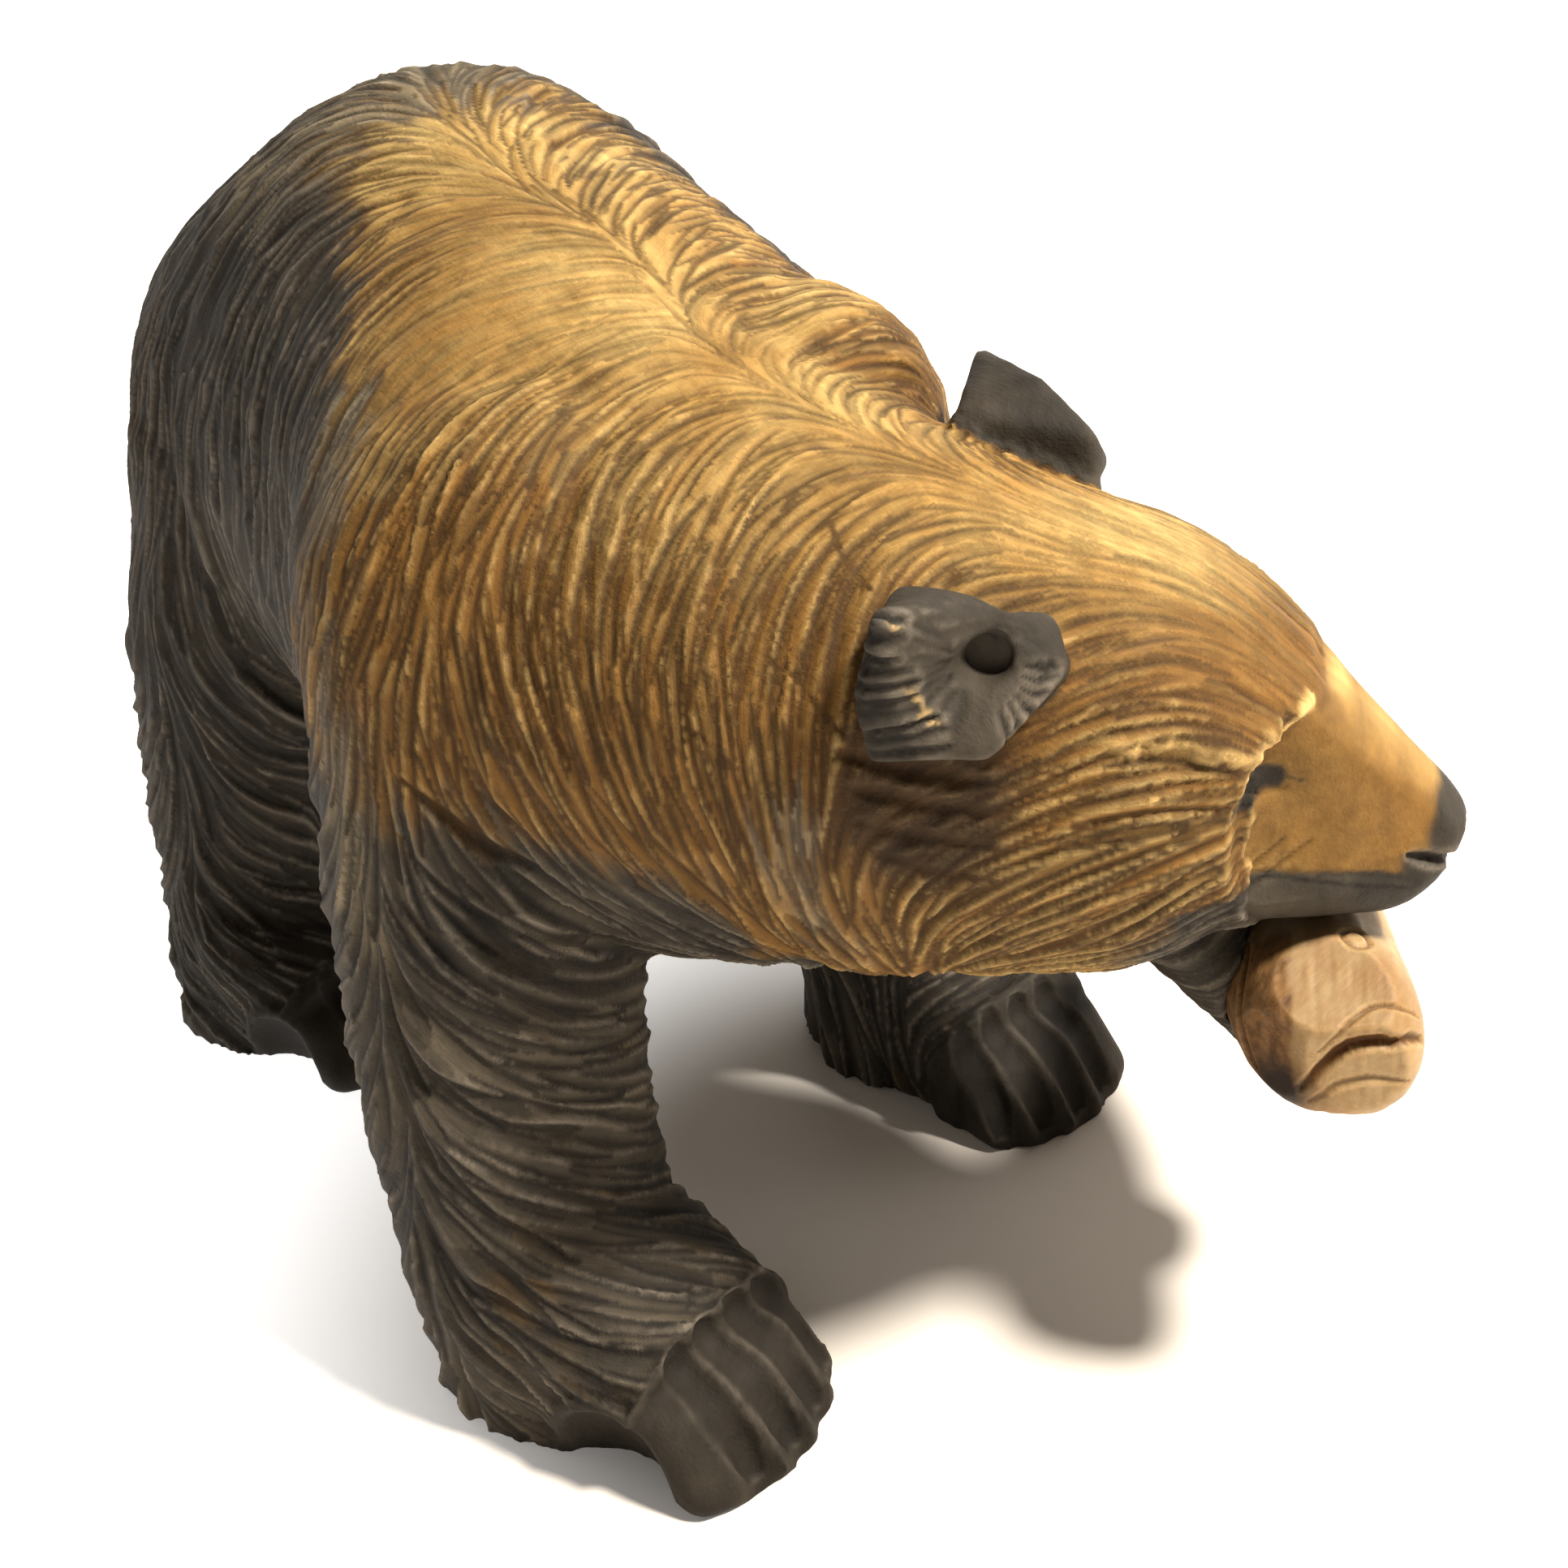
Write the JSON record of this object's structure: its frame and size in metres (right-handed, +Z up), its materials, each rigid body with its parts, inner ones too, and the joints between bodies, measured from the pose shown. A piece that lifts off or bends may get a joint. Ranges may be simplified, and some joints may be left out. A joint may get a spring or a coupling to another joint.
{
  "type": "carved wooden bear figurine",
  "caption": "Hand-carved wooden bear walking on four legs, head low and turned aside, gripping a salmon crosswise; rests on its paw soles.",
  "frame": {"origin": "middle of the bounding box at floor level, under the belly", "axes": "+X forward along the body, +Y to the bear's left, +Z up; the soles rest on Z = 0"},
  "size_m": [0.3945, 0.2166, 0.2567],
  "materials": {
    "honey_wood": "honey-coloured bare wood, cut all over by fine gouge strokes that follow the fur, lightly oiled",
    "charred_wood": "wood stained dark charcoal-brown, dull, with the cut edges of the gouge strokes worn paler",
    "salmon_wood": "smooth reddish honey-coloured wood with knife facets and a darker brown wash in the cuts"
  },
  "bodies": {
    "root": {"torso": "honey_wood", "tail": "charred_wood", "neck": "honey_wood", "head": "honey_wood", "nose": "charred_wood", "lower_jaw": "charred_wood", "right_ear": "charred_wood", "left_ear": "charred_wood", "right_foreleg": "charred_wood", "left_foreleg": "charred_wood", "right_forepaw": "charred_wood", "left_forepaw": "charred_wood", "right_hind_leg": "charred_wood", "left_hind_leg": "charred_wood", "right_hind_paw": "charred_wood", "left_hind_paw": "charred_wood", "salmon": "salmon_wood"}
  },
  "joints": []
}
